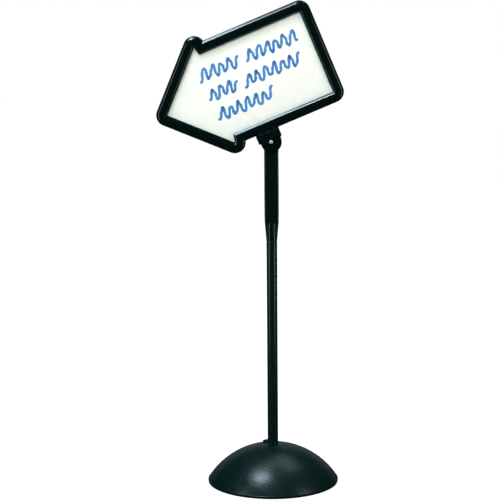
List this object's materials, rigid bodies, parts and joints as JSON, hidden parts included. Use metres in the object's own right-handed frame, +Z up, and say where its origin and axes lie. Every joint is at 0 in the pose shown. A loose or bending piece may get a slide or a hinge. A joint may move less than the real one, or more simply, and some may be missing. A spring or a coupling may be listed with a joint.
{
  "type": "pedestal arrow sign",
  "caption": "Floor-standing arrow sign: white dry-erase board in an arrow-shaped black frame, tilting on a swivelling head over a pole in a weighted dome base.",
  "frame": {"origin": "on the floor, on the pole's axis, at the underside of the base's centre pad", "axes": "+Z up along the pole; -Y is the front, the side that the picture shows; +X is the viewer's right, so the arrow points to -X and down at rest"},
  "size_m": [0.6405, 0.4572, 1.6817],
  "materials": {
    "textured_plastic": "satin",
    "moulded_plastic": "satin",
    "yoke_plastic": "gloss",
    "gloss_black_plastic": "gloss",
    "painted_steel": "satin",
    "white_enamel": "gloss",
    "fibreboard": "matte",
    "rubber": "matte",
    "zinc_steel": "satin",
    "bright_zinc": "polished",
    "nylon": "satin",
    "sand": "matte"
  },
  "bodies": {
    "base": {"base_dome": "textured_plastic", "base_pan": "textured_plastic", "sand_ballast": "sand", "centre_pad": "rubber", "rubber_foot_1": "rubber", "rubber_foot_2": "rubber", "rubber_foot_3": "rubber", "rubber_foot_4": "rubber", "rubber_foot_5": "rubber", "rubber_foot_6": "rubber", "pan_screw_1": "zinc_steel", "pan_screw_2": "zinc_steel", "pan_screw_3": "zinc_steel", "pan_screw_4": "zinc_steel", "pole_socket": "painted_steel", "tie_bolt": "zinc_steel", "tie_washer": "zinc_steel", "pole_tube": "painted_steel", "swivel_bush": "nylon"},
    "plug": {"fill_plug": "rubber"},
    "head": {"swivel_spindle": "zinc_steel", "spindle_washer": "zinc_steel", "spindle_screw": "zinc_steel", "pole_head": "moulded_plastic", "spindle_pin": "zinc_steel"},
    "sign": {"tilt_yoke": "yoke_plastic", "friction_disc_front": "nylon", "friction_disc_rear": "nylon", "pivot_bolt": "bright_zinc", "pivot_washer": "bright_zinc", "pivot_nut": "bright_zinc", "board_front_sheet": "white_enamel", "board_core": "fibreboard", "board_rear_sheet": "white_enamel", "frame_front": "gloss_black_plastic", "frame_rear": "gloss_black_plastic", "frame_screw_1": "zinc_steel", "frame_screw_2": "zinc_steel", "frame_screw_3": "zinc_steel", "frame_screw_4": "zinc_steel", "frame_screw_5": "zinc_steel", "frame_screw_6": "zinc_steel", "frame_screw_7": "zinc_steel", "mount_bar": "zinc_steel", "yoke_screw_1": "zinc_steel", "yoke_screw_2": "zinc_steel"}
  },
  "joints": [
    {"name": "head_swivel", "type": "hinge", "parent": "base", "child": "head", "pos_m": [0, 0, 0.8548], "axis": [0, 0, 1], "continuous": true},
    {"name": "sign_tilt", "type": "hinge", "parent": "head", "child": "sign", "pos_m": [0, 0, 1.2023], "axis": [0, 1, 0], "range_deg": [-32, 77]},
    {"name": "plug_lift", "type": "slide", "parent": "base", "child": "plug", "axis": [-0.0552, 0.1657, 0.9846], "range_m": [0, 0.025]}
  ]
}
